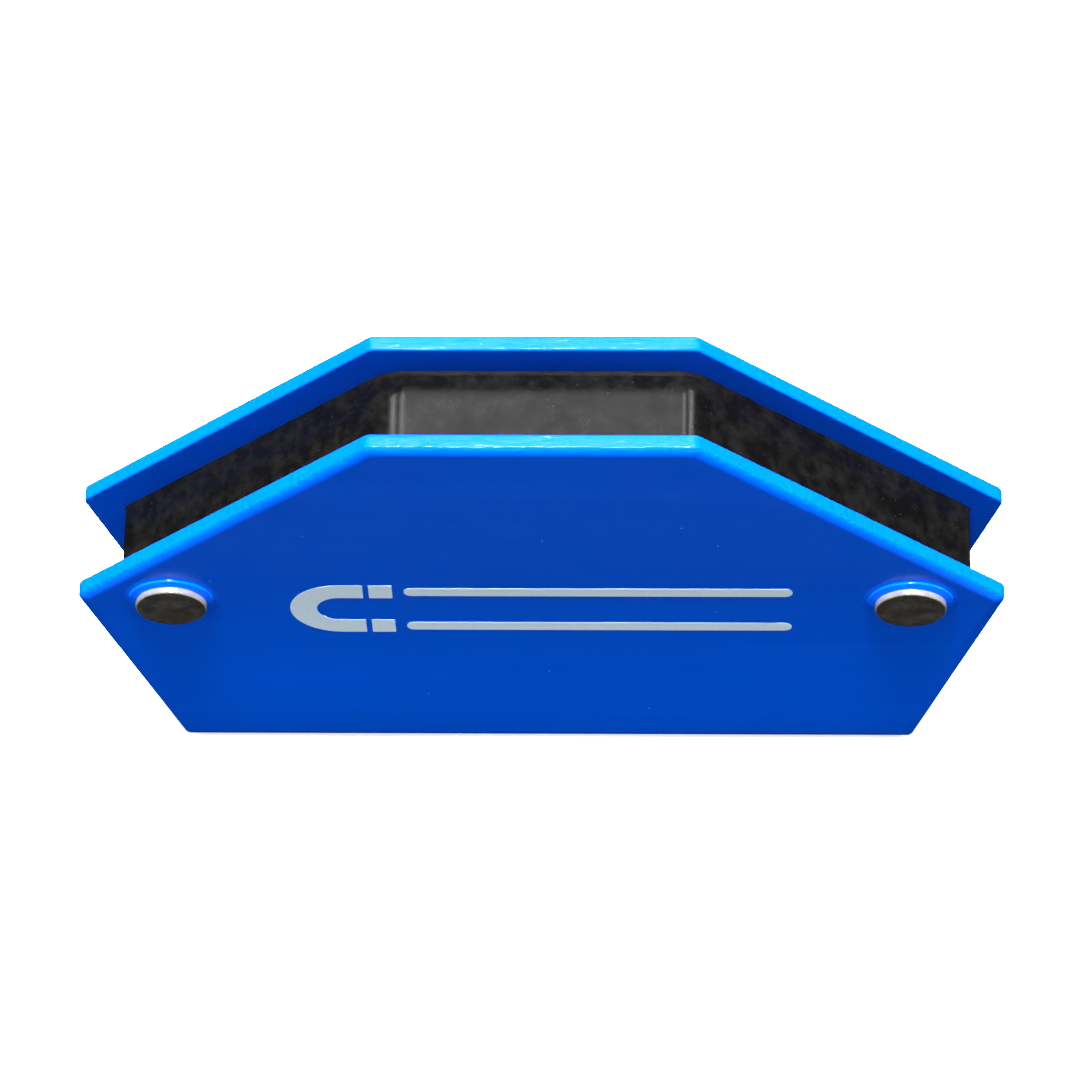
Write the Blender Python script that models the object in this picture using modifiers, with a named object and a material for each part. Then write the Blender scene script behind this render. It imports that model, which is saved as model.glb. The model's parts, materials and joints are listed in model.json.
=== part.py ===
"""Multi-angle welding magnet holder.

Two six-sided steel pole plates are riveted together over a moulded plastic
core, which carries two ferrite blocks.  The holder stands on its base:
X runs along its width, Y through its thickness and Z up, with the origin at
the middle of the base.  The front plate faces -Y.
"""
import math

import bmesh
import bpy

# Outline of the pole plates.
SIDE_COUNT = 6
HALF_WIDTH = 0.0554
WIDEST_LEVEL = 0.0375
TOP_HALF_WIDTH = 0.01885
LOWER_SIDE_ANGLE = math.radians(75.0)
UPPER_SIDE_ANGLE = math.radians(45.0)
HEIGHT = WIDEST_LEVEL + (HALF_WIDTH - TOP_HALF_WIDTH) * math.tan(UPPER_SIDE_ANGLE)
# Corner radii of a plate, at its base, its sides and its top.
PLATE_CORNER_RADII = [0.0008, 0.0016, 0.0013]
LEAST_CORNER_RADIUS = 0.0001

# Thickness of the stack.
PLATE_THICKNESS = 0.00225
PLATE_GAP = 0.0110
CLEARANCE = 0.0003
OUTER_FACE_Y = PLATE_GAP / 2 + PLATE_THICKNESS

# The stamped plates roll over towards their outer faces.
ROLL_WIDTH = 0.0015
ROLL_DEPTH = 0.0007
ROLL_SEGMENTS = 4

# Rivets, and the low boss that each head sits on.
RIVET_X = 0.04405
RIVET_Z = 0.0373
SHANK_RADIUS = 0.0019
HEAD_RADIUS = 0.0043
HEAD_EDGE_RADIUS = 0.0003
HEAD_TOP_ABOVE_PLATE = 0.00135
HEAD_SEAT_GAP = 0.00015
BOSS_FOOT_RADIUS = 0.0056
BOSS_TOP_RADIUS = 0.0048
BOSS_HEIGHT = 0.0006

# Spacer sleeves round the shanks, and the holes that they sit in.
SLEEVE_INNER_RADIUS = SHANK_RADIUS + CLEARANCE
SLEEVE_OUTER_RADIUS = 0.0028
SLEEVE_HOLE_RADIUS = SLEEVE_OUTER_RADIUS + CLEARANCE
PLATE_HOLE_RADIUS = SHANK_RADIUS + CLEARANCE

# Core, set back from each side of the plates, anticlockwise from the base.
# The moulding sits a little to the right of the plates' middle.
CORE_INSETS = [0.0040, 0.0034, 0.0039, 0.0050, 0.00475, 0.0043]
CORE_DEPTH = PLATE_GAP - 2 * CLEARANCE
CORE_CORNER_RADII = [0.0010, 0.0010, 0.0044]

# Ferrite blocks: width and height across the plates, and where each one ends below.
LOWER_BLOCK = {"width": 0.060, "height": 0.025, "base": 0.0085}
UPPER_BLOCK = {"width": 0.040, "height": 0.025, "base": 0.0375}
BLOCK_CHAMFER = 0.0006

CORNER_STEPS = 4
HEAD_EDGE_STEPS = 3
ROUND_STEPS = 48
TOOL_OVERLAP = 0.001
WELD_DISTANCE = 0.000001


def clear_scene():
    for item in list(bpy.data.objects):
        bpy.data.objects.remove(item, do_unlink=True)


def new_collection(name):
    collection = bpy.data.collections.new(name)
    bpy.context.scene.collection.children.link(collection)
    return collection


def new_material(name, color, roughness, metallic):
    material = bpy.data.materials.new(name)
    material.use_nodes = True
    shader = material.node_tree.nodes["Principled BSDF"]
    shader.inputs["Base Color"].default_value = (*color, 1.0)
    shader.inputs["Roughness"].default_value = roughness
    shader.inputs["Metallic"].default_value = metallic
    return material


def side_lines():
    """The angle of each side's outward normal and the side's distance from the origin.

    The sides run anticlockwise from the base.
    """
    right = [(angle, HALF_WIDTH * math.cos(angle) + WIDEST_LEVEL * math.sin(angle))
             for angle in (LOWER_SIDE_ANGLE - math.pi / 2, math.pi / 2 - UPPER_SIDE_ANGLE)]
    left = [(math.pi - angle, reach) for angle, reach in reversed(right)]
    return [(-math.pi / 2, 0.0)] + right + [(math.pi / 2, HEIGHT)] + left


def hexagon(insets):
    """Corners of the outline, each side moved inwards by its inset, anticlockwise from the lower right."""
    lines = [(angle, reach - inset) for (angle, reach), inset in zip(side_lines(), insets)]
    corners = []
    for (angle, reach), (next_angle, next_reach) in zip(lines, lines[1:] + lines[:1]):
        turn = math.sin(next_angle - angle)
        corners.append(((reach * math.sin(next_angle) - next_reach * math.sin(angle)) / turn,
                        (next_reach * math.cos(angle) - reach * math.cos(next_angle)) / turn))
    return corners


def rounded(corners, radii):
    """The closed outline through corners, with an arc of the given radius at each one."""
    points = []
    for index, (x, z) in enumerate(corners):
        before = corners[index - 1]
        after = corners[(index + 1) % len(corners)]
        angle_in = math.atan2(z - before[1], x - before[0])
        angle_out = math.atan2(after[1] - z, after[0] - x)
        turn = (angle_out - angle_in) % (2 * math.pi)
        setback = radii[index] * math.tan(turn / 2)
        start_x = x - setback * math.cos(angle_in)
        start_z = z - setback * math.sin(angle_in)
        centre_x = start_x - radii[index] * math.sin(angle_in)
        centre_z = start_z + radii[index] * math.cos(angle_in)
        for step in range(CORNER_STEPS + 1):
            angle = angle_in - math.pi / 2 + turn * step / CORNER_STEPS
            points.append((centre_x + radii[index] * math.cos(angle),
                           centre_z + radii[index] * math.sin(angle)))
    return points


def flat_mesh(name, outline, thickness):
    """A mesh of the outline in its own XY plane, centred on that plane, of the given thickness."""
    curve = bpy.data.curves.new(name + "_outline", "CURVE")
    curve.dimensions = "2D"
    curve.fill_mode = "BOTH"
    curve.extrude = thickness / 2
    spline = curve.splines.new("POLY")
    spline.points.add(len(outline) - 1)
    spline.use_cyclic_u = True
    for point, (x, y) in zip(spline.points, outline):
        point.co = (x, y, 0.0, 1.0)
    blank = bpy.data.objects.new(name + "_outline", curve)
    bpy.context.scene.collection.objects.link(blank)
    evaluated = blank.evaluated_get(bpy.context.evaluated_depsgraph_get())
    mesh = bpy.data.meshes.new_from_object(evaluated)
    mesh.name = name
    bpy.data.objects.remove(blank, do_unlink=True)
    shape = bmesh.new()
    shape.from_mesh(mesh)
    bmesh.ops.remove_doubles(shape, verts=shape.verts, dist=WELD_DISTANCE)
    bmesh.ops.recalc_face_normals(shape, faces=shape.faces)
    shape.to_mesh(mesh)
    shape.free()
    return mesh


def add_piece(name, mesh, material, collection, location=(0, 0, 0), turned=0.0):
    """Stand a piece up: its own Z axis points towards the front, or the back when turned by 180."""
    piece = bpy.data.objects.new(name, mesh)
    piece.location = location
    piece.rotation_euler = (math.radians(90), 0.0, math.radians(turned))
    piece.data.materials.clear()
    piece.data.materials.append(material)
    piece.data.shade_smooth()
    piece.data.set_sharp_from_angle(angle=math.radians(30))
    collection.objects.link(piece)
    return piece


def add_tool(name, mesh, collection, location, turned=0.0):
    """A shape that only cuts or joins others."""
    tool = bpy.data.objects.new(name, mesh)
    tool.location = location
    tool.rotation_euler = (math.radians(90), 0.0, math.radians(turned))
    tool.hide_render = True
    tool.display_type = "WIRE"
    collection.objects.link(tool)
    return tool


def combine(piece, tool, operation):
    modifier = piece.modifiers.new(tool.name, "BOOLEAN")
    modifier.operation = operation
    modifier.solver = "EXACT"
    modifier.object = tool


def cone_mesh(name, foot_radius, top_radius, height):
    shape = bmesh.new()
    bmesh.ops.create_cone(shape, cap_ends=True, segments=ROUND_STEPS,
                          radius1=foot_radius, radius2=top_radius, depth=height)
    mesh = bpy.data.meshes.new(name)
    shape.to_mesh(mesh)
    shape.free()
    return mesh


def box_mesh(name, width, height, depth, chamfer=0.0):
    shape = bmesh.new()
    bmesh.ops.create_cube(shape, size=1.0)
    bmesh.ops.scale(shape, vec=(width, height, depth), verts=shape.verts)
    if chamfer:
        bmesh.ops.bevel(shape, geom=shape.edges[:], offset=chamfer, segments=1,
                        profile=0.5, affect="EDGES")
    mesh = bpy.data.meshes.new(name)
    shape.to_mesh(mesh)
    shape.free()
    return mesh


def turned_piece(name, profile, closed, material, collection, x):
    """Turn a profile of (radius, height) points about the rivet axis at x."""
    mesh = bpy.data.meshes.new(name)
    count = len(profile)
    edges = [(index, index + 1) for index in range(count - 1)]
    if closed:
        edges.append((count - 1, 0))
    mesh.from_pydata([(radius, 0.0, height) for radius, height in profile], edges, [])
    piece = bpy.data.objects.new(name, mesh)
    piece.location = (x, 0.0, RIVET_Z)
    piece.rotation_euler = (math.radians(90), 0.0, 0.0)
    piece.data.materials.append(material)
    collection.objects.link(piece)
    screw = piece.modifiers.new("turn", "SCREW")
    screw.axis = "Z"
    screw.steps = ROUND_STEPS
    screw.render_steps = ROUND_STEPS
    screw.use_merge_vertices = True
    screw.merge_threshold = WELD_DISTANCE
    screw.use_smooth_shade = True
    return piece


def plate_mesh():
    """A stamped plate, with its inner face at Z = 0 and its outer face rolled over at the rim.

    The roll is a quarter ellipse, so the plate is a stack of outlines that
    draw in as they rise.
    """
    levels = [(0.0, 0.0)]
    for step in range(ROLL_SEGMENTS + 1):
        angle = math.pi / 2 * step / ROLL_SEGMENTS
        levels.append((ROLL_WIDTH * (1 - math.cos(angle)),
                       PLATE_THICKNESS - ROLL_DEPTH * (1 - math.sin(angle))))
    shape = bmesh.new()
    rings = []
    for inset, height in levels:
        radii = [max(radius - inset, LEAST_CORNER_RADIUS) for radius in PLATE_CORNER_RADII]
        outline = rounded(hexagon([inset] * SIDE_COUNT), radii + radii[::-1])
        rings.append([shape.verts.new((x, y, height)) for x, y in outline])
    for lower, upper in zip(rings, rings[1:]):
        for index in range(len(lower)):
            shape.faces.new((lower[index - 1], lower[index], upper[index], upper[index - 1]))
    shape.faces.new(rings[0][::-1])
    shape.faces.new(rings[-1])
    mesh = bpy.data.meshes.new("pole_plate")
    shape.to_mesh(mesh)
    shape.free()
    return mesh


def make_plates(material, parts, tools):
    mesh = plate_mesh()
    hole = cone_mesh("plate_hole", PLATE_HOLE_RADIUS, PLATE_HOLE_RADIUS,
                     2 * (OUTER_FACE_Y + BOSS_HEIGHT + TOOL_OVERLAP))
    # The boss starts inside the plate, so its foot radius is carried down along its slope.
    sunk = PLATE_THICKNESS / 2
    slope = (BOSS_FOOT_RADIUS - BOSS_TOP_RADIUS) / BOSS_HEIGHT
    boss = cone_mesh("rivet_boss", BOSS_FOOT_RADIUS + slope * sunk, BOSS_TOP_RADIUS,
                     BOSS_HEIGHT + sunk)
    boss_y = OUTER_FACE_Y + (BOSS_HEIGHT - sunk) / 2
    for name, side, turned in (("front_plate", -1, 0), ("rear_plate", 1, 180)):
        plate = add_piece(name, mesh, material, parts, (0.0, side * PLATE_GAP / 2, 0.0), turned)
        for x in (-RIVET_X, RIVET_X):
            tag = f"{name}_{'left' if x < 0 else 'right'}"
            bump = add_tool(tag + "_boss", boss, tools, (x, side * boss_y, RIVET_Z), turned)
            combine(plate, bump, "UNION")
            bore = add_tool(tag + "_hole", hole, tools, (x, 0.0, RIVET_Z))
            combine(plate, bore, "DIFFERENCE")


def make_core(material, parts, tools):
    outline = rounded(hexagon(CORE_INSETS), CORE_CORNER_RADII + CORE_CORNER_RADII[::-1])
    core = add_piece("core_housing", flat_mesh("core_housing", outline, CORE_DEPTH), material, parts)
    through = CORE_DEPTH + 2 * TOOL_OVERLAP
    hole = cone_mesh("sleeve_hole", SLEEVE_HOLE_RADIUS, SLEEVE_HOLE_RADIUS, through)
    for x in (-RIVET_X, RIVET_X):
        tag = "sleeve_hole_left" if x < 0 else "sleeve_hole_right"
        combine(core, add_tool(tag, hole, tools, (x, 0.0, RIVET_Z)), "DIFFERENCE")
    for name, block in (("lower_pocket", LOWER_BLOCK), ("upper_pocket", UPPER_BLOCK)):
        pocket = box_mesh(name, block["width"] + 2 * CLEARANCE,
                          block["height"] + 2 * CLEARANCE, through)
        middle = (0.0, 0.0, block["base"] + block["height"] / 2)
        combine(core, add_tool(name, pocket, tools, middle), "DIFFERENCE")


def make_magnets(material, parts):
    for name, block in (("lower_ferrite_block", LOWER_BLOCK), ("upper_ferrite_block", UPPER_BLOCK)):
        mesh = box_mesh(name, block["width"], block["height"], CORE_DEPTH, BLOCK_CHAMFER)
        add_piece(name, mesh, material, parts, (0.0, 0.0, block["base"] + block["height"] / 2))


def rivet_profile():
    """Half of the rivet's section, from the middle of one head to the middle of the other."""
    top = OUTER_FACE_Y + HEAD_TOP_ABOVE_PLATE
    under = OUTER_FACE_Y + BOSS_HEIGHT + HEAD_SEAT_GAP
    half = [(0.0, top)]
    for step in range(HEAD_EDGE_STEPS + 1):
        angle = math.pi / 2 * (1 - step / HEAD_EDGE_STEPS)
        half.append((HEAD_RADIUS - HEAD_EDGE_RADIUS * (1 - math.cos(angle)),
                     top - HEAD_EDGE_RADIUS * (1 - math.sin(angle))))
    half.append((HEAD_RADIUS, under))
    half.append((SHANK_RADIUS, under))
    return half + [(radius, -height) for radius, height in reversed(half)]


def sleeve_profile():
    half_length = CORE_DEPTH / 2
    return [(SLEEVE_OUTER_RADIUS, half_length), (SLEEVE_OUTER_RADIUS, -half_length),
            (SLEEVE_INNER_RADIUS, -half_length), (SLEEVE_INNER_RADIUS, half_length)]


def make_rivets(rivet_material, sleeve_material, parts):
    for side, x in (("left", -RIVET_X), ("right", RIVET_X)):
        turned_piece("rivet_" + side, rivet_profile(), False, rivet_material, parts, x)
        turned_piece("spacer_sleeve_" + side, sleeve_profile(), True, sleeve_material, parts, x)


def main():
    clear_scene()
    parts = new_collection("welding_magnet_holder")
    tools = new_collection("cutters")
    blue_paint = new_material("blue_powder_coat", (0.0, 0.055, 0.44), 0.32, 0.0)
    black_plastic = new_material("black_plastic", (0.012, 0.012, 0.013), 0.35, 0.0)
    rivet_steel = new_material("rivet_steel", (0.12, 0.11, 0.10), 0.45, 1.0)
    sleeve_steel = new_material("sleeve_steel", (0.45, 0.45, 0.44), 0.35, 1.0)
    ferrite = new_material("ferrite", (0.055, 0.055, 0.058), 0.6, 0.0)
    make_plates(blue_paint, parts, tools)
    make_core(black_plastic, parts, tools)
    make_magnets(ferrite, parts)
    make_rivets(rivet_steel, sleeve_steel, parts)


main()
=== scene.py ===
"""Looks of the multi-angle welding magnet holder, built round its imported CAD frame.

Everything is in metres: X along the base, Y through the thickness (the front
plate faces -Y) and Z up from the base.
"""
import json
import math

import bmesh
import bpy
from mathutils import Matrix, Vector, noise


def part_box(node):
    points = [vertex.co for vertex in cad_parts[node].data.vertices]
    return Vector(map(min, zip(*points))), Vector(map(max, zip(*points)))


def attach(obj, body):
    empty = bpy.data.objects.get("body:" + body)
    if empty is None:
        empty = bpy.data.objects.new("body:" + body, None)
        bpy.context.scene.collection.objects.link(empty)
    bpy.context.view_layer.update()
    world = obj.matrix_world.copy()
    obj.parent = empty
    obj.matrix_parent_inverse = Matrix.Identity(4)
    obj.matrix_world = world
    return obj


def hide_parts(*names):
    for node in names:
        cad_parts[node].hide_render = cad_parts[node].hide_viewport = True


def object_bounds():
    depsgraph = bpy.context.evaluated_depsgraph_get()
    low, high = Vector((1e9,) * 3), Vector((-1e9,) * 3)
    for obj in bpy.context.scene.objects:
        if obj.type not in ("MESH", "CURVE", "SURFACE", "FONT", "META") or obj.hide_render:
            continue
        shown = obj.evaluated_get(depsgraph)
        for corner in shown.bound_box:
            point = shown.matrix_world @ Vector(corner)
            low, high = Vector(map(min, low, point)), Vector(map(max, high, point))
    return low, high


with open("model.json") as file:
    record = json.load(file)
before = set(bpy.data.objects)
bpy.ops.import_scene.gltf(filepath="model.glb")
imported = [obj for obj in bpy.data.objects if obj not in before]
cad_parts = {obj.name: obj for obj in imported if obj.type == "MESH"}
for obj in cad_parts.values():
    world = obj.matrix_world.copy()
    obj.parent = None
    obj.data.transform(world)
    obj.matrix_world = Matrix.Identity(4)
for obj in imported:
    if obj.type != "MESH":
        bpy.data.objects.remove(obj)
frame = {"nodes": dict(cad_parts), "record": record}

CAD_BOX = [list(corner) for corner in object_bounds()]
MM = 0.001

# The plates' six sides, anticlockwise from the base, as the record's mounts give them.
SIDES = ["base", "lower_side_right", "upper_side_right", "top", "upper_side_left", "lower_side_left"]

# Corner radii, in the order of the corners that follow each side above.
PLATE_RADII = [0.8 * MM, 1.6 * MM, 1.3 * MM, 1.3 * MM, 1.6 * MM, 0.8 * MM]
CORE_RADII = [1.0 * MM, 1.0 * MM, 4.4 * MM, 6.0 * MM, 1.0 * MM, 1.0 * MM]
LEAST_RADIUS = 0.08 * MM
ARC_STEPS = 10

# The plates' rims: a small paint radius inside, a wide shallow roll outside.
INNER_EDGE_RADIUS = 0.30 * MM
INNER_EDGE_STEPS = 4
ROLL_WIDTH = 1.5 * MM
ROLL_DEPTH = 0.7 * MM
ROLL_STEPS = 14

# The low painted swelling round each rivet head: a gentle slope with a step halfway up it.
BOSS_FOOT_RADIUS = 5.95 * MM
BOSS_TOP_RADIUS = 4.30 * MM
BOSS_HEIGHT = 0.62 * MM
BOSS_STEP_SHARE = 0.4
BOSS_STEP_START, BOSS_STEP_END = 0.475, 0.525
BOSS_SLOPE_POWER = 1.7
BOSS_STEPS = 80
# The boss's foot starts a little inside the plate, so that the two join cleanly.
BOSS_SINK = 0.004 * MM
PLATE_HOLE_RADIUS = 2.2 * MM

# How far the core is set back from each side, in the order of SIDES.
CORE_INSETS = [4.0 * MM, 3.4 * MM, 3.9 * MM, 5.0 * MM, 4.75 * MM, 4.3 * MM]
CORE_PLATE_GAP = 0.02 * MM
CORE_POINT_SPACING = 0.8 * MM
# Moulding flash climbs a little way up each plate.
FLASH_RISE = 0.20 * MM
FLASH_WIDTH = 0.55 * MM
# How far from the middle, in Y, the flash's dull skin starts.
FLASH_START = 4.9 * MM
FLASH_WAVER = 0.12 * MM
FLASH_LONG_WAVE = 1.6 * MM
FLASH_SHORT_WAVE = 0.5 * MM
FLASH_STEPS = 5
POCKET_CLEARANCE = 0.3 * MM

HEAD_FACE_RADIUS = 4.05 * MM
HEAD_EDGE_STEPS = 6
HEAD_SEAT_GAP = 0.01 * MM
SHANK_RADIUS = 1.9 * MM
# The hammered heads: their share out of round, and the depth of their dents.
HEAD_OUT_OF_ROUND = 0.022
HEAD_ROUND_WAVE = 2.4 * MM
HEAD_DENT = 0.018 * MM
HEAD_DENT_WAVE = 1.3 * MM

ROUND_STEPS = 96
SHARP_DEGREES = 40.0

# The print: a horseshoe magnet on its side, whose poles run on into two stripes.
PRINT_THICKNESS = 0.02 * MM
PRINT_LIFT = 0.002 * MM
PRINT_MIDDLE = 34.9 * MM
BEND_CENTRE_X = -24.0 * MM
BEND_OUTER_RADIUS = 6.0 * MM
BEND_INNER_RADIUS = 2.8 * MM
POLE_START, POLE_END = -20.4 * MM, -17.6 * MM
POLE_GAP = 0.7 * MM
POLE_CORNER = 0.15 * MM
STRIPE_START, STRIPE_END = POLE_END + 1.4 * MM, 30.0 * MM
STRIPE_HEIGHT_SHARE = 0.62
STRIPE_CORNER = 0.9 * MM
PRINT_CORNER_STEPS = 6


# ---------------------------------------------------------------- outlines

def side_lines():
    """Each side of the plates as (outward normal, distance from the origin) in the XZ plane."""
    mounts = {mount["name"]: mount for mount in frame["record"]["mounts"]}
    lines = []
    for name in SIDES:
        x, _, z = mounts[name]["pos_m"]
        normal = Vector((mounts[name]["axis"][0], mounts[name]["axis"][2])).normalized()
        lines.append((normal, normal.dot(Vector((x, z)))))
    return lines


def hexagon(insets):
    """The six corners, with each side moved inwards by its inset."""
    lines = [(normal, reach - inset) for (normal, reach), inset in zip(side_lines(), insets)]
    corners = []
    for index, (normal, reach) in enumerate(lines):
        other, other_reach = lines[(index + 1) % len(lines)]
        across = Matrix((normal, other)).inverted()
        corners.append(across @ Vector((reach, other_reach)))
    return corners


def rounded(corners, radii, steps=ARC_STEPS):
    """The closed outline through corners, with an arc at each."""
    points = []
    for index, corner in enumerate(corners):
        arriving = (corner - corners[index - 1]).normalized()
        leaving = (corners[(index + 1) % len(corners)] - corner).normalized()
        turn = arriving.angle_signed(leaving)
        radius = radii[index]
        start = corner - arriving * radius * math.tan(abs(turn) / 2)
        centre = start + Vector((-arriving.y, arriving.x)) * radius
        first = math.atan2(arriving.y, arriving.x) - math.pi / 2
        for step in range(steps + 1):
            angle = first + abs(turn) * step / steps
            points.append(centre + Vector((math.cos(angle), math.sin(angle))) * radius)
    return points


def stretches(points, spacing):
    """How many pieces each stretch of an outline divides into, about spacing long."""
    following = points[1:] + points[:1]
    return [max(1, round((after - point).length / spacing)) for point, after in zip(points, following)]


def divided(points, counts):
    """The same outline with its stretches divided into counts pieces."""
    result = []
    for point, after, count in zip(points, points[1:] + points[:1], counts):
        result += [point.lerp(after, piece / count) for piece in range(count)]
    return result


# ---------------------------------------------------------------- meshes

def loft(name, rings):
    """A closed object through rings of points, each ring with the same number of points."""
    shape = bmesh.new()
    loops = [[shape.verts.new(point) for point in ring] for ring in rings]
    for lower, upper in zip(loops, loops[1:]):
        for index in range(len(lower)):
            shape.faces.new((lower[index - 1], lower[index], upper[index], upper[index - 1]))
    shape.faces.new(loops[0][::-1])
    shape.faces.new(loops[-1])
    bmesh.ops.recalc_face_normals(shape, faces=shape.faces)
    mesh = bpy.data.meshes.new(name)
    shape.to_mesh(mesh)
    shape.free()
    piece = bpy.data.objects.new(name, mesh)
    bpy.context.scene.collection.objects.link(piece)
    return piece


def combine(piece, tools, operation):
    """Join tools to piece or cut them from it, and drop them."""
    for tool in tools:
        modifier = piece.modifiers.new(tool.name, "BOOLEAN")
        modifier.operation = operation
        modifier.object = tool
    bpy.context.view_layer.update()
    evaluated = piece.evaluated_get(bpy.context.evaluated_depsgraph_get())
    mesh = bpy.data.meshes.new_from_object(evaluated)
    piece.modifiers.clear()
    piece.data = mesh
    for tool in tools:
        bpy.data.objects.remove(tool, do_unlink=True)


def shade(piece):
    """Smooth shading that leaves the flat faces flat."""
    piece.data.shade_smooth()
    piece.data.set_sharp_from_angle(angle=math.radians(SHARP_DEGREES))
    weighted = piece.modifiers.new("flat faces stay flat", "WEIGHTED_NORMAL")
    weighted.mode = "FACE_AREA"
    weighted.weight = 100
    weighted.keep_sharp = True


def ring_about(x, z, radius, y):
    """A ring of points about the Y axis through (x, z)."""
    angles = [2 * math.pi * step / ROUND_STEPS for step in range(ROUND_STEPS)]
    return [Vector((x + radius * math.cos(a), y, z + radius * math.sin(a))) for a in angles]


def turned(name, x, z, profile):
    """A solid turned about the Y axis through (x, z) from (radius, y) points."""
    return loft(name, [ring_about(x, z, radius, y) for radius, y in profile])


def box_between(name, low, high):
    """A plain box used as a cutter."""
    outline = [(low.x, low.z), (high.x, low.z), (high.x, high.z), (low.x, high.z)]
    return loft(name, [[Vector((x, y, z)) for x, z in outline] for y in (low.y, high.y)])


# ---------------------------------------------------------------- pieces

def rivet_centres():
    """The middle of each rivet's box."""
    return {name: (sum(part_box(name), Vector()) / 2) for name in ("rivet_left", "rivet_right")}


def plate_faces(name):
    """The Y of a plate's inner face and of its outer face."""
    mounts = {mount["name"]: mount for mount in frame["record"]["mounts"]}
    outer = mounts["front_face" if name == "front_plate" else "rear_face"]["pos_m"][1]
    low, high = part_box(name)
    inner = high.y if outer < 0 else low.y
    return inner, outer


def plate_levels(thickness):
    """(inset, height) steps of a plate's rim, from its inner face to its outer face."""
    levels = []
    for step in range(INNER_EDGE_STEPS + 1):
        angle = math.pi / 2 * step / INNER_EDGE_STEPS
        levels.append((INNER_EDGE_RADIUS * (1 - math.sin(angle)), INNER_EDGE_RADIUS * (1 - math.cos(angle))))
    for step in range(ROLL_STEPS + 1):
        angle = math.pi / 2 * step / ROLL_STEPS
        levels.append((ROLL_WIDTH * (1 - math.cos(angle)), thickness - ROLL_DEPTH * (1 - math.sin(angle))))
    return levels


def smooth_step(value):
    """0 below 0, 1 above 1, and a smooth rise between."""
    value = min(max(value, 0.0), 1.0)
    return value * value * (3 - 2 * value)


def boss_profile(inner, outer):
    """(radius, y) of the swelling, from inside the plate to its flat top."""
    side = math.copysign(1, outer)
    profile = [(BOSS_FOOT_RADIUS, (inner + outer) / 2)]
    for step in range(BOSS_STEPS + 1):
        share = step / BOSS_STEPS
        radius = BOSS_FOOT_RADIUS + (BOSS_TOP_RADIUS - BOSS_FOOT_RADIUS) * share
        sharp = smooth_step((share - BOSS_STEP_START) / (BOSS_STEP_END - BOSS_STEP_START))
        rise = BOSS_STEP_SHARE * sharp + (1 - BOSS_STEP_SHARE) * share ** BOSS_SLOPE_POWER
        profile.append((radius, outer + side * (BOSS_HEIGHT * rise - BOSS_SINK * (1 - share))))
    return profile


def make_plate(name):
    inner, outer = plate_faces(name)
    side = math.copysign(1, outer)
    rings = []
    for inset, height in plate_levels(abs(outer - inner)):
        radii = [max(radius - inset, LEAST_RADIUS) for radius in PLATE_RADII]
        outline = rounded(hexagon([inset] * len(SIDES)), radii)
        rings.append([Vector((point.x, inner + side * height, point.y)) for point in outline])
    plate = loft(name + "_painted", rings)
    bosses, holes = [], []
    for rivet, centre in rivet_centres().items():
        bosses.append(turned(rivet + "_boss", centre.x, centre.z, boss_profile(inner, outer)))
        reach = [(PLATE_HOLE_RADIUS, inner - side * MM), (PLATE_HOLE_RADIUS, outer + side * MM)]
        holes.append(turned(rivet + "_hole", centre.x, centre.z, reach))
    combine(plate, bosses, "UNION")
    combine(plate, holes, "DIFFERENCE")
    shade(plate)
    return plate


def core_levels(depth):
    """(inset, height) steps of the core's side between the plates: flash at both ends, flat between."""
    shares = [step / FLASH_STEPS for step in range(FLASH_STEPS + 1)]
    flash = [(-FLASH_RISE * (1 - share) ** 2, FLASH_WIDTH * share) for share in shares]
    middle = [(0.0, depth * share) for share in (0.2, 0.4, 0.6, 0.8)]
    return flash + middle + [(inset, depth - height) for inset, height in reversed(flash)]


def make_core():
    """The moulded core, with soft corners and a slightly uneven line where it meets each plate."""
    front, _ = plate_faces("front_plate")
    rear, _ = plate_faces("rear_plate")
    near, far = front + CORE_PLATE_GAP, rear - CORE_PLATE_GAP
    counts = stretches(rounded(hexagon(CORE_INSETS), CORE_RADII), CORE_POINT_SPACING)
    rings = []
    for inset, height in core_levels(far - near):
        corners = hexagon([side + inset for side in CORE_INSETS])
        outline = divided(rounded(corners, [radius - inset for radius in CORE_RADII]), counts)
        rings.append([Vector((point.x, near + height, point.y)) for point in outline])
    core = loft("core_moulding", rings)
    waver(core)
    cutters = []
    for name in ("lower_ferrite_block", "upper_ferrite_block"):
        low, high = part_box(name)
        margin = Vector((POCKET_CLEARANCE, 2 * MM, POCKET_CLEARANCE))
        cutters.append(box_between(name + "_pocket", low - margin, high + margin))
    for name in ("spacer_sleeve_left", "spacer_sleeve_right"):
        low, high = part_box(name)
        middle = (low + high) / 2
        radius = (high.x - low.x) / 2 + POCKET_CLEARANCE
        ends = [(radius, low.y - 2 * MM), (radius, high.y + 2 * MM)]
        cutters.append(turned(name + "_bore", middle.x, middle.z, ends))
    combine(core, cutters, "DIFFERENCE")
    shade(core)
    return core


def waver(piece):
    """Uneven moulding flash: moves the rim a little inwards or outwards near the piece's two ends."""
    ys = [vertex.co.y for vertex in piece.data.vertices]
    low, high = min(ys), max(ys)
    for vertex in piece.data.vertices:
        nearness = 1 - min(vertex.co.y - low, high - vertex.co.y) / FLASH_WIDTH
        if nearness <= 0:
            continue
        swell = noise.noise(vertex.co / FLASH_LONG_WAVE) + 0.6 * noise.noise(vertex.co / FLASH_SHORT_WAVE)
        middle = Vector((0.0, vertex.co.y, (CAD_BOX[0][2] + CAD_BOX[1][2]) / 2))
        inwards = (middle - vertex.co).normalized()
        vertex.co += inwards * FLASH_WAVER * nearness * (0.8 + swell)


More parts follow.
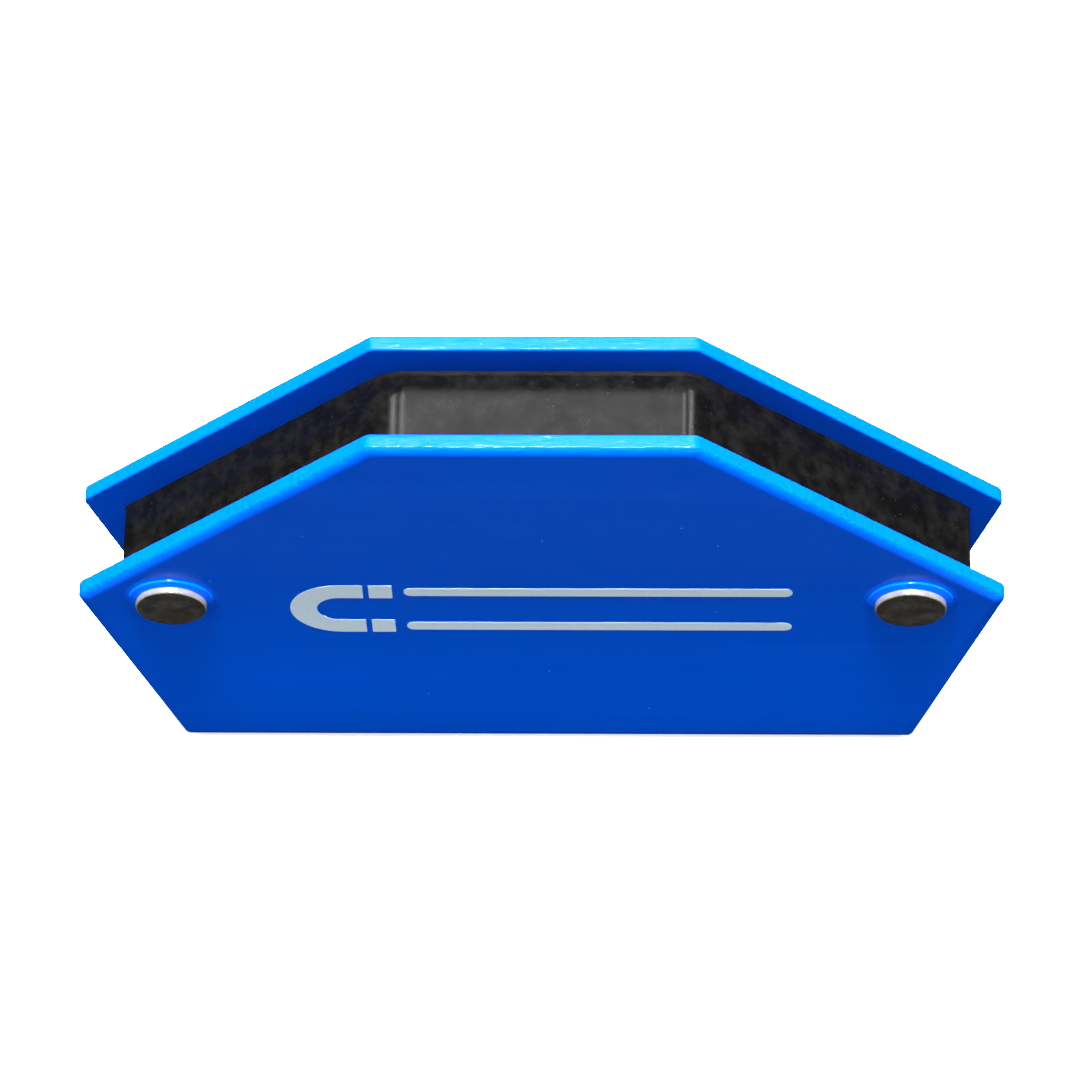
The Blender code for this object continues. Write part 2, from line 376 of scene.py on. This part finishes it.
def rivet_profile(name):
    """(radius, y) from the front head's middle to the rear head's middle."""
    low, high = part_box(name)
    head_radius = (high.x - low.x) / 2
    seat = [plate_faces(plate)[1] for plate in ("front_plate", "rear_plate")]
    profile = []
    for tip, face in ((low.y, seat[0] - BOSS_HEIGHT), (high.y, seat[1] + BOSS_HEIGHT)):
        inwards = math.copysign(1, -tip)
        edge = head_radius - HEAD_FACE_RADIUS
        half = [(HEAD_FACE_RADIUS * share, tip) for share in (0.02, 0.2, 0.4, 0.6, 0.8, 0.94)]
        for step in range(HEAD_EDGE_STEPS + 1):
            angle = math.pi / 2 * step / HEAD_EDGE_STEPS
            radius = HEAD_FACE_RADIUS + edge * math.sin(angle)
            half.append((radius, tip + inwards * edge * (1 - math.cos(angle))))
        half.append((head_radius, face + inwards * HEAD_SEAT_GAP))
        half.append((SHANK_RADIUS, face + inwards * HEAD_SEAT_GAP))
        profile += half if not profile else half[::-1]
    return profile


def make_rivet(name):
    """A steel rivet whose hammered heads are a little out of round and uneven."""
    low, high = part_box(name)
    centre = (low + high) / 2
    rivet = turned(name + "_steel", centre.x, centre.z, rivet_profile(name))
    for vertex in rivet.data.vertices:
        out = Vector((vertex.co.x - centre.x, 0.0, vertex.co.z - centre.z))
        if out.length < SHANK_RADIUS * 1.01 and abs(vertex.co.y) < high.y - 0.1 * MM:
            continue
        swell = noise.noise(Vector((out.x, 0.0, out.z)) / HEAD_ROUND_WAVE + centre * 90)
        vertex.co -= out * HEAD_OUT_OF_ROUND * (0.5 + 0.5 * swell)
        dent = noise.noise(vertex.co / HEAD_DENT_WAVE)
        vertex.co.y -= math.copysign(HEAD_DENT, vertex.co.y) * (0.5 + 0.5 * dent)
    shade(rivet)
    return rivet


# ---------------------------------------------------------------- the print

def flat_print(name, outline):
    """A thin printed shape on the front plate's outer face, from its outline in the XZ plane."""
    _, outer = plate_faces("front_plate")
    side = math.copysign(1, outer)
    levels = (outer + side * PRINT_LIFT, outer + side * PRINT_THICKNESS)
    return loft(name, [[Vector((x, y, z)) for x, z in outline] for y in levels])


def arc_points(centre, radius, start, end, steps=32):
    """Points along an arc, with its ends in degrees."""
    angles = [math.radians(start + (end - start) * step / steps) for step in range(steps + 1)]
    return [(centre[0] + radius * math.cos(a), centre[1] + radius * math.sin(a)) for a in angles]


def bar_outline(left, right, middle, height, corner):
    """A bar with rounded ends."""
    corners = [Vector((left, middle - height / 2)), Vector((right, middle - height / 2)),
               Vector((right, middle + height / 2)), Vector((left, middle + height / 2))]
    return [tuple(point) for point in rounded(corners, [corner] * 4, PRINT_CORNER_STEPS)]


def make_print():
    """A generic mark: a horseshoe magnet lying on its side, with two stripes running from its poles."""
    bend = (BEND_CENTRE_X, PRINT_MIDDLE)
    outer, inner = BEND_OUTER_RADIUS, BEND_INNER_RADIUS
    arm = POLE_START - POLE_GAP
    yoke = [(arm, PRINT_MIDDLE + outer)] + arc_points(bend, outer, 90, 270)
    yoke += [(arm, PRINT_MIDDLE - outer), (arm, PRINT_MIDDLE - inner)]
    yoke += arc_points(bend, inner, 270, 90) + [(arm, PRINT_MIDDLE + inner)]
    pieces = [flat_print("print_yoke", yoke)]
    thickness = outer - inner
    for tag, sign in (("upper", 1), ("lower", -1)):
        level = PRINT_MIDDLE + sign * (outer + inner) / 2
        pole = bar_outline(POLE_START, POLE_END, level, thickness, POLE_CORNER)
        stripe_height = thickness * STRIPE_HEIGHT_SHARE
        stripe = bar_outline(STRIPE_START, STRIPE_END, level, stripe_height, STRIPE_CORNER)
        pieces.append(flat_print(f"print_pole_{tag}", pole))
        pieces.append(flat_print(f"print_stripe_{tag}", stripe))
    return pieces


# ---------------------------------------------------------------- materials

def add_node(tree, kind, inputs=None, **settings):
    """A node with its settings, and with each input set to a value or linked to a socket."""
    node = tree.nodes.new(kind)
    for name, value in settings.items():
        setattr(node, name, value)
    for key, value in (inputs or {}).items():
        if isinstance(value, bpy.types.NodeSocket):
            tree.links.new(value, node.inputs[key])
        else:
            node.inputs[key].default_value = value
    return node


def new_material(name, **fixed):
    """A Principled material; fixed are the socket values that are the same all over."""
    material = bpy.data.materials.new(name)
    material.use_nodes = True
    shader = material.node_tree.nodes["Principled BSDF"]
    for key, value in fixed.items():
        shader.inputs[key.replace("_", " ")].default_value = value
    return material, material.node_tree, shader


def place(tree, stretch=(1.0, 1.0, 1.0)):
    """Object coordinates, stretched."""
    where = add_node(tree, "ShaderNodeTexCoord").outputs["Object"]
    return add_node(tree, "ShaderNodeMapping", {"Vector": where, "Scale": stretch}).outputs["Vector"]


def grain(tree, size, detail=2.0, roughness=0.5, stretch=(1.0, 1.0, 1.0)):
    """Noise from 0 to 1 whose features are about size metres across."""
    inputs = {"Vector": place(tree, stretch), "Scale": 1.0 / size, "Detail": detail, "Roughness": roughness}
    return add_node(tree, "ShaderNodeTexNoise", inputs).outputs["Fac"]


def remap(tree, value, low, high, to_low, to_high):
    """value, moved from the range low to high to the range to_low to to_high."""
    inputs = {"Value": value, "From Min": low, "From Max": high, "To Min": to_low, "To Max": to_high}
    return add_node(tree, "ShaderNodeMapRange", inputs).outputs["Result"]


def blend(tree, share, first, second):
    """A colour between first and second."""
    node = add_node(tree, "ShaderNodeMix", data_type="RGBA")
    for socket, value in ((node.inputs[0], share), (node.inputs[6], first), (node.inputs[7], second)):
        if isinstance(value, bpy.types.NodeSocket):
            tree.links.new(value, socket)
        else:
            socket.default_value = value if socket.type == "VALUE" else (*value, 1.0)
    return node.outputs[2]


def calculate(tree, operation, first, second):
    """One step of arithmetic on two values."""
    return add_node(tree, "ShaderNodeMath", {0: first, 1: second}, operation=operation).outputs[0]


def specks(tree, spacing, radius, share):
    """1 on small round specks and 0 between them: one cell in every 1/share holds a speck."""
    cells = add_node(tree, "ShaderNodeTexVoronoi", {"Vector": place(tree), "Scale": 1.0 / spacing})
    dot = remap(tree, cells.outputs["Distance"], 0.6 * radius / spacing, radius / spacing, 1.0, 0.0)
    chance = add_node(tree, "ShaderNodeSeparateColor", {"Color": cells.outputs["Color"]}).outputs[0]
    chosen = calculate(tree, "LESS_THAN", chance, share)
    return calculate(tree, "MULTIPLY", dot, chosen)


def flatness(tree):
    """1 on the faces that point along Y and 0 on everything that slopes or stands across it."""
    normal = add_node(tree, "ShaderNodeTexCoord").outputs["Normal"]
    y = add_node(tree, "ShaderNodeSeparateXYZ", {"Vector": normal}).outputs["Y"]
    return remap(tree, calculate(tree, "ABSOLUTE", y, 0.0), 0.85, 0.98, 0.0, 1.0)


def bump(tree, shader, layers):
    """Stacked bumps: each layer is (height, depth in metres, strength)."""
    normal = None
    for height, depth, strength in layers:
        inputs = {"Height": height, "Strength": strength, "Distance": depth}
        if normal:
            inputs["Normal"] = normal
        normal = add_node(tree, "ShaderNodeBump", inputs).outputs["Normal"]
    tree.links.new(normal, shader.inputs["Normal"])


def blue_powder_coat():
    """Glossy blue powder coat: orange peel, drips along the edges, faint banding and a few specks."""
    material, tree, shader = new_material("blue_powder_coat", Specular_IOR_Level=0.11)
    banding = grain(tree, 5.0 * MM, 3.0, 0.6, (0.05, 1.0, 1.0))
    cloud = grain(tree, 14.0 * MM, 3.0, 0.55)
    banding = calculate(tree, "MULTIPLY", banding, 0.6)
    tone = calculate(tree, "ADD", banding, calculate(tree, "MULTIPLY", cloud, 0.4))
    share = remap(tree, tone, 0.3, 0.7, 0.0, 1.0)
    colour = blend(tree, share, (0.0, 0.053, 0.440), (0.0, 0.061, 0.490))
    colour = blend(tree, specks(tree, 4.0 * MM, 0.12 * MM, 0.5), colour, (0.06, 0.26, 0.66))
    tree.links.new(colour, shader.inputs["Base Color"])
    gloss = remap(tree, grain(tree, 3.0 * MM, 3.0, 0.6), 0.3, 0.7, 0.12, 0.18)
    tree.links.new(gloss, shader.inputs["Roughness"])
    peel = remap(tree, flatness(tree), 0.0, 1.0, 1.0, 0.05)
    streaks = grain(tree, 0.55 * MM, 2.0, 0.5, (0.14, 1.0, 1.0))
    peaks = grain(tree, 1.0 * MM, 2.0, 0.5)
    bump(tree, shader, [(peaks, 0.130 * MM, peel), (streaks, 0.130 * MM, peel)])
    return material


def black_plastic():
    """Black moulded plastic: flow lines, a pebbly skin and pale dust."""
    material, tree, shader = new_material("black_plastic", Specular_IOR_Level=0.10)
    dust = specks(tree, 0.7 * MM, 0.10 * MM, 0.16)
    haze = remap(tree, grain(tree, 2.4 * MM, 5.0, 0.7), 0.42, 0.66, 0.0, 1.0)
    colour = blend(tree, haze, (0.0011, 0.0011, 0.0012), (0.0034, 0.0033, 0.0031))
    colour = blend(tree, dust, colour, (0.010, 0.010, 0.009))
    tree.links.new(colour, shader.inputs["Base Color"])
    gloss = remap(tree, grain(tree, 1.2 * MM, 3.0, 0.6), 0.3, 0.7, 0.16, 0.24)
    y = add_node(tree, "ShaderNodeSeparateXYZ", {"Vector": place(tree)}).outputs["Y"]
    flash = remap(tree, calculate(tree, "ABSOLUTE", y, 0.0), FLASH_START, FLASH_START + 0.15 * MM, 0.0, 0.4)
    gloss = calculate(tree, "ADD", gloss, flash)
    tree.links.new(gloss, shader.inputs["Roughness"])
    pebbles = grain(tree, 0.7 * MM, 3.0, 0.6)
    lines = grain(tree, 0.22 * MM, 2.0, 0.6, (1.0, 0.12, 1.0))
    bump(tree, shader, [(pebbles, 0.006 * MM, 1.0), (lines, 0.0030 * MM, 1.0)])
    return material


def rivet_steel():
    """Steel rivet: heads blackened and mottled brown and olive, their walls rubbed bright."""
    material, tree, shader = new_material("rivet_steel")
    stain = remap(tree, grain(tree, 1.7 * MM, 4.0, 0.65), 0.38, 0.62, 0.0, 1.0)
    scale = remap(tree, grain(tree, 0.6 * MM, 3.0, 0.7), 0.48, 0.66, 0.0, 1.0)
    oxide = blend(tree, stain, (0.100, 0.092, 0.078), (0.205, 0.215, 0.200))
    oxide = blend(tree, scale, oxide, (0.115, 0.090, 0.060))
    bright = blend(tree, stain, (0.58, 0.56, 0.50), (0.72, 0.71, 0.69))
    tree.links.new(blend(tree, flatness(tree), bright, oxide), shader.inputs["Base Color"])
    tree.links.new(remap(tree, flatness(tree), 0.0, 1.0, 0.87, 0.80), shader.inputs["Metallic"])
    tree.links.new(remap(tree, stain, 0.0, 1.0, 0.18, 0.26), shader.inputs["Roughness"])
    bump(tree, shader, [(grain(tree, 0.8 * MM, 4.0, 0.6), 0.03 * MM, 1.0)])
    return material


def sleeve_steel():
    """Bright drawn steel tube."""
    material, tree, shader = new_material("sleeve_steel", Metallic=1.0)
    draw = grain(tree, 0.3 * MM, 3.0, 0.6, (1.0, 0.05, 1.0))
    tree.links.new(blend(tree, draw, (0.42, 0.42, 0.41), (0.55, 0.55, 0.54)), shader.inputs["Base Color"])
    tree.links.new(remap(tree, draw, 0.3, 0.7, 0.25, 0.40), shader.inputs["Roughness"])
    bump(tree, shader, [(draw, 0.004 * MM, 1.0)])
    return material


def ferrite():
    """Sintered ferrite: dull dark grey with a fine grain and small pits."""
    material, tree, shader = new_material("ferrite", Specular_IOR_Level=0.4)
    skin = grain(tree, 0.4 * MM, 4.0, 0.7)
    colour = blend(tree, skin, (0.040, 0.040, 0.043), (0.070, 0.069, 0.070))
    colour = blend(tree, specks(tree, 1.5 * MM, 0.15 * MM, 0.3), colour, (0.02, 0.02, 0.02))
    tree.links.new(colour, shader.inputs["Base Color"])
    tree.links.new(remap(tree, skin, 0.3, 0.7, 0.55, 0.70), shader.inputs["Roughness"])
    bump(tree, shader, [(skin, 0.02 * MM, 1.0)])
    return material


def print_ink():
    """Pale grey screen-printing ink, a little thin in places."""
    material, tree, shader = new_material("print_ink", Specular_IOR_Level=0.3)
    thin = remap(tree, grain(tree, 0.6 * MM, 4.0, 0.7), 0.4, 0.8, 0.0, 1.0)
    tree.links.new(blend(tree, thin, (0.42, 0.53, 0.61), (0.36, 0.47, 0.56)), shader.inputs["Base Color"])
    tree.links.new(remap(tree, thin, 0.0, 1.0, 0.42, 0.55), shader.inputs["Roughness"])
    bump(tree, shader, [(grain(tree, 0.3 * MM, 2.0, 0.5), 0.003 * MM, 1.0)])
    return material


# ---------------------------------------------------------------- studio

CAMERA_ELEVATION = math.radians(62.05)
CAMERA_TURN = math.radians(3.90)
CAMERA_ROLL = math.radians(-3.31)
CAMERA_DISTANCE = 0.7008
CAMERA_ASIDE = -0.00118
CAMERA_RAISED = 0.01776
CAMERA_LENS = 185.86
ROOM_STRENGTH = 0.008
FLOOR_LEVEL = -0.0002
FLOOR_RADIUS = 6.0
FLOOR_GLOW = 0.55
DOME_RADIUS = 8.0


def make_camera():
    """A long lens above the front, turned and rolled a little."""
    camera = bpy.data.objects.new("camera", bpy.data.cameras.new("camera"))
    camera.data.sensor_width = 36.0
    camera.data.lens = CAMERA_LENS
    camera.data.clip_start = 0.01
    camera.data.clip_end = 50.0
    turn = Matrix.Rotation(CAMERA_TURN, 3, "Z") @ Matrix.Rotation(math.pi / 2 - CAMERA_ELEVATION, 3, "X")
    turn = turn @ Matrix.Rotation(CAMERA_ROLL, 3, "Z")
    camera.matrix_world = turn.to_4x4()
    camera.location = turn @ Vector((CAMERA_ASIDE, CAMERA_RAISED, CAMERA_DISTANCE))
    bpy.context.scene.collection.objects.link(camera)
    bpy.context.scene.camera = camera


def area_light(name, direction, distance, size, radiance, glossy=True, diffuse=True):
    """A rectangular lamp that faces the holder's middle, of the given size and radiance."""
    light = bpy.data.lights.new(name, "AREA")
    light.shape = "RECTANGLE"
    light.size, light.size_y = size
    light.energy = radiance * math.pi * size[0] * size[1]
    lamp = bpy.data.objects.new(name, light)
    middle = (Vector(CAD_BOX[0]) + Vector(CAD_BOX[1])) / 2
    heading = Vector(direction).normalized()
    lamp.location = middle + heading * distance
    lamp.rotation_euler = heading.to_track_quat("Z", "Y").to_euler()
    lamp.visible_camera = False
    lamp.visible_glossy = glossy
    lamp.visible_diffuse = diffuse
    bpy.context.scene.collection.objects.link(lamp)
    return lamp


def make_lights():
    """Diffuse lamps from above, the front and the sides, and cards that only glossy surfaces see."""
    area_light("overhead", (0.0, -0.02, 1.0), 1.2, (0.34, 0.12), 1020.0, glossy=False)
    area_light("rear_key", (0.0, 0.56, 0.83), 1.2, (0.50, 0.10), 150.0, glossy=False)
    area_light("front_fill", (-0.5, -1.0, 0.25), 0.9, (0.60, 0.60), 1.1, glossy=False)
    area_light("low_front_fill", (0.0, -0.040, -0.031), 0.0506, (0.30, 0.02), 2.9, glossy=False)
    area_light("high_front_fill", (0.0, -0.040, 0.041), 0.0573, (0.30, 0.02), 2.2, glossy=False)
    area_light("rear_softbox", (0.0, 0.50, 0.88), 1.4, (0.55, 0.42), 7.5, diffuse=False)
    area_light("sparkle", (0.0, -0.045, 1.0), 1.2, (0.10, 0.45), 260.0, diffuse=False)
    for tag, side, inner, outer in (("left", -1, 0.22, 0.48), ("right", 1, 0.28, 0.56)):
        area_light("inner_strip_" + tag, (side * inner, 0.47, 0.86), 1.2, (0.10, 0.34), 32.0, diffuse=False)
        area_light("outer_strip_" + tag, (side * outer, 0.47, 0.70), 1.2, (0.08, 0.34), 42.0, diffuse=False)
        area_light("side_fill_" + tag, (side * 1.0, 0.1, 0.35), 1.0, (0.3, 0.2), 62.0, glossy=False)


def make_world():
    """A nearly dark room, so that the lamps and cards give the light."""
    world = bpy.data.worlds.new("dim_room")
    world.use_nodes = True
    world.node_tree.nodes["Background"].inputs["Color"].default_value = (1.0, 1.0, 1.0, 1.0)
    world.node_tree.nodes["Background"].inputs["Strength"].default_value = ROOM_STRENGTH
    bpy.context.scene.world = world


def make_floor():
    """A pale floor. It takes light and shadow, and is kept out of the reflections on the object."""
    middle = (0.0, 0.0, FLOOR_LEVEL)
    bpy.ops.mesh.primitive_circle_add(vertices=96, radius=FLOOR_RADIUS, fill_type="NGON", location=middle)
    floor = bpy.context.object
    floor.name = "floor"
    floor.visible_glossy = False
    floor.visible_diffuse = False
    material, _, shader = new_material("pale_floor", Roughness=0.9, Specular_IOR_Level=0.0)
    shader.inputs["Base Color"].default_value = (0.80, 0.80, 0.80, 1.0)
    shader.inputs["Emission Color"].default_value = (1.0, 1.0, 1.0, 1.0)
    shader.inputs["Emission Strength"].default_value = FLOOR_GLOW
    floor.data.materials.append(material)


def make_backdrop():
    """A plain white dome round everything, which only the camera sees."""
    bpy.ops.mesh.primitive_uv_sphere_add(segments=48, ring_count=24, radius=DOME_RADIUS)
    dome = bpy.context.object
    dome.name = "backdrop"
    for ray in ("visible_diffuse", "visible_glossy", "visible_transmission", "visible_shadow"):
        setattr(dome, ray, False)
    material, _, shader = new_material("white_backdrop", Roughness=1.0, Specular_IOR_Level=0.0)
    shader.inputs["Base Color"].default_value = (0.0, 0.0, 0.0, 1.0)
    shader.inputs["Emission Color"].default_value = (1.0, 1.0, 1.0, 1.0)
    shader.inputs["Emission Strength"].default_value = 1.0
    dome.data.materials.append(material)


# ---------------------------------------------------------------- assembly

def finish_piece(piece, material, slot, *nodes):
    """Give a piece its material and body, and say which CAD nodes it replaces. The slot is not used."""
    piece.data.materials.clear()
    piece.data.materials.append(material)
    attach(piece, "root")
    if nodes:
        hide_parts(*nodes)


def make_object():
    """Every visible piece. The blocks and sleeves inside keep their CAD shape and get a material."""
    paint = blue_powder_coat()
    for name in ("front_plate", "rear_plate"):
        finish_piece(make_plate(name), paint, "blue_powder_coat", name)
    finish_piece(make_core(), black_plastic(), "black_plastic", "core_housing")
    steel = rivet_steel()
    for name in ("rivet_left", "rivet_right"):
        finish_piece(make_rivet(name), steel, "rivet_steel", name)
    ink = print_ink()
    for piece in make_print():
        finish_piece(piece, ink, "print_ink")
    hidden = {"lower_ferrite_block": ferrite(), "spacer_sleeve_left": sleeve_steel()}
    hidden["upper_ferrite_block"] = hidden["lower_ferrite_block"]
    hidden["spacer_sleeve_right"] = hidden["spacer_sleeve_left"]
    for name, material in hidden.items():
        frame["nodes"][name].data.materials.clear()
        frame["nodes"][name].data.materials.append(material)


make_camera()
make_object()
make_world()
make_lights()
make_floor()
make_backdrop()
bpy.context.scene.view_settings.view_transform = "Standard"
